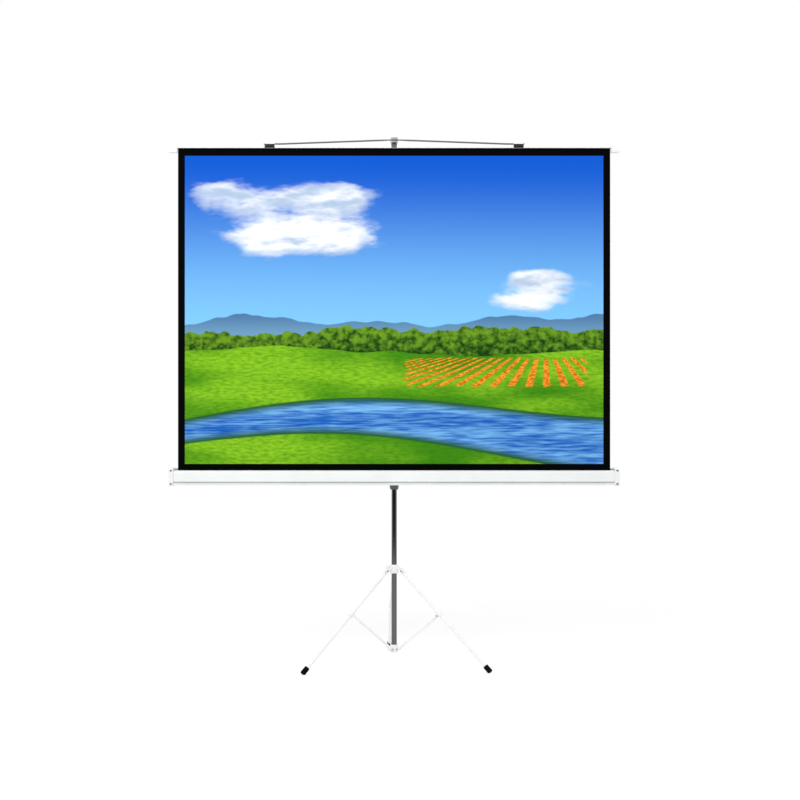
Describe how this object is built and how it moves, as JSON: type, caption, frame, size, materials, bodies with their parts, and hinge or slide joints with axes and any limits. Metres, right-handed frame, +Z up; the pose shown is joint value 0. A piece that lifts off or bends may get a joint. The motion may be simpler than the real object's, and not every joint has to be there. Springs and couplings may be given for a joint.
{
  "type": "tripod projection screen",
  "caption": "Portable roller projection screen in a long white case, carried by a telescoping mast on a folding tripod, with a wire bail hung on a hook.",
  "frame": {"origin": "on the floor, under the middle of the outer box", "axes": "+Z up along the mast, +X to the right of a viewer facing the screen, +Y away from that viewer"},
  "size_m": [1.8346, 0.6812, 2.1618],
  "materials": {
    "white_paint": "satin white powder coat",
    "white_plastic": "white moulded plastic",
    "dark_plastic": "dark grey moulded plastic",
    "black_plastic": "black moulded plastic",
    "black_rubber": "matte black rubber",
    "dark_chrome": "dark chromed steel tube",
    "steel": "zinc plated steel",
    "screen_cloth": "matte white projection cloth with a black border"
  },
  "bodies": {
    "mast": {"mast_tube": "dark_chrome", "base_hub": "white_plastic", "base_rivet_rear": "steel", "base_rivet_left": "steel", "base_rivet_right": "steel", "rod_lock_collar": "dark_plastic"},
    "rod_button": {"rod_lock_button": "black_plastic"},
    "leg_hub": {"leg_hub": "white_plastic", "leg_pivot_rear": "steel", "leg_pivot_left": "steel", "leg_pivot_right": "steel"},
    "hub_knob": {"hub_knob": "white_plastic"},
    "leg_rear": {"leg_eye_rear": "white_plastic", "leg_tube_rear": "white_paint", "leg_clamp_rear": "white_plastic", "clamp_rivet_rear": "steel", "foot_rear": "black_rubber"},
    "leg_left": {"leg_eye_left": "white_plastic", "leg_tube_left": "white_paint", "leg_clamp_left": "white_plastic", "clamp_rivet_left": "steel", "foot_left": "black_rubber"},
    "leg_right": {"leg_eye_right": "white_plastic", "leg_tube_right": "white_paint", "leg_clamp_right": "white_plastic", "clamp_rivet_right": "steel", "foot_right": "black_rubber"},
    "brace_rear": {"brace_rear": "white_paint"},
    "brace_left": {"brace_left": "white_paint"},
    "brace_right": {"brace_right": "white_paint"},
    "carrier": {"case_carrier": "dark_plastic", "swivel_bolt": "steel"},
    "carrier_knob": {"carrier_lock_knob": "black_plastic"},
    "case": {"case_bracket": "steel", "case_shell": "white_paint", "case_end_cap_left": "white_plastic", "case_end_cap_right": "white_plastic", "screen_fabric": "screen_cloth", "roller_pin_left": "steel", "roller_pin_right": "steel"},
    "roller": {"roller_tube": "steel", "roller_plug_left": "black_plastic", "roller_plug_right": "black_plastic", "fabric_roll": "screen_cloth", "roller_spring": "steel"},
    "slat": {"top_slat": "white_paint", "slat_end_cap_left": "white_plastic", "slat_end_cap_right": "white_plastic", "bail_bracket_left": "black_plastic", "bail_bracket_right": "black_plastic"},
    "bail": {"bail_wire": "steel"},
    "rod": {"extension_rod": "dark_chrome", "rod_guide_bush": "black_plastic", "hook_head": "steel"}
  },
  "joints": [
    {"name": "leg_fold", "type": "slide", "parent": "mast", "child": "leg_hub", "axis": [0, 0, 1], "range_m": [0, 0.1458]},
    {"name": "leg_rear_swing", "type": "hinge", "parent": "leg_hub", "child": "leg_rear", "pos_m": [-0.00188, -0.06041, 0.38597], "axis": [-0.9986, -0.0523, 0], "range_deg": [0, 46]},
    {"name": "leg_left_swing", "type": "hinge", "parent": "leg_hub", "child": "leg_left", "pos_m": [-0.03019, -0.11597, 0.38597], "axis": [0.5446, -0.8387, 0], "range_deg": [0, 46]},
    {"name": "leg_right_swing", "type": "hinge", "parent": "leg_hub", "child": "leg_right", "pos_m": [0.03208, -0.1127, 0.38597], "axis": [0.454, 0.891, 0], "range_deg": [0, 46]},
    {"name": "brace_rear_swing", "type": "hinge", "parent": "mast", "child": "brace_rear", "pos_m": [-0.00094, -0.07838, 0.065], "axis": [0.9986, 0.0523, 0], "range_deg": [0, 49.5]},
    {"name": "brace_left_swing", "type": "hinge", "parent": "mast", "child": "brace_left", "pos_m": [-0.0151, -0.10616, 0.065], "axis": [-0.5446, 0.8387, 0], "range_deg": [0, 49.5]},
    {"name": "brace_right_swing", "type": "hinge", "parent": "mast", "child": "brace_right", "pos_m": [0.01604, -0.10453, 0.065], "axis": [-0.454, -0.891, 0], "range_deg": [0, 49.5]},
    {"name": "hub_knob_turn", "type": "hinge", "parent": "leg_hub", "child": "hub_knob", "pos_m": [0, -0.09636, 0.39997], "axis": [-0.891, 0.454, 0], "range_deg": [0, 180]},
    {"name": "rod_slide", "type": "slide", "parent": "mast", "child": "rod", "axis": [0, 0, 1], "range_m": [-0.9, 0], "deforming": ["screen_fabric"]},
    {"name": "rod_button_press", "type": "slide", "parent": "mast", "child": "rod_button", "axis": [0, -1, 0], "range_m": [0, 0.002], "stiffness_N_per_m": 400},
    {"name": "carrier_slide", "type": "slide", "parent": "mast", "child": "carrier", "axis": [0, 0, 1], "range_m": [0, 0.335]},
    {"name": "carrier_knob_turn", "type": "hinge", "parent": "carrier", "child": "carrier_knob", "pos_m": [0, -0.0694, 0.785], "axis": [0, 1, 0], "range_deg": [0, 180]},
    {"name": "case_swivel", "type": "hinge", "parent": "carrier", "child": "case", "pos_m": [0, -0.12, 0.77], "axis": [0, 1, 0], "range_deg": [0, 50]},
    {"name": "roller_turn", "type": "hinge", "parent": "case", "child": "roller", "pos_m": [0, -0.16156, 0.77], "axis": [1, 0, 0], "continuous": true},
    {"name": "slat_lift", "type": "slide", "parent": "case", "child": "slat", "axis": [0, 0, 1], "range_m": [-0.9, 0]},
    {"name": "bail_swing", "type": "hinge", "parent": "slat", "child": "bail", "pos_m": [0, -0.14336, 2.1302], "axis": [1, 0, 0], "range_deg": [0, 110]}
  ],
  "couplings": [
    {"joint": "leg_rear_swing", "follows": "leg_fold", "rad_per_m": 5.5048},
    {"joint": "leg_left_swing", "follows": "leg_fold", "rad_per_m": 5.5048},
    {"joint": "leg_right_swing", "follows": "leg_fold", "rad_per_m": 5.5048},
    {"joint": "brace_rear_swing", "follows": "leg_fold", "rad_per_m": 5.9201},
    {"joint": "brace_left_swing", "follows": "leg_fold", "rad_per_m": 5.9201},
    {"joint": "brace_right_swing", "follows": "leg_fold", "rad_per_m": 5.9201},
    {"joint": "slat_lift", "follows": "rod_slide", "ratio": 1},
    {"joint": "roller_turn", "follows": "rod_slide", "rad_per_m": 54.945}
  ]
}
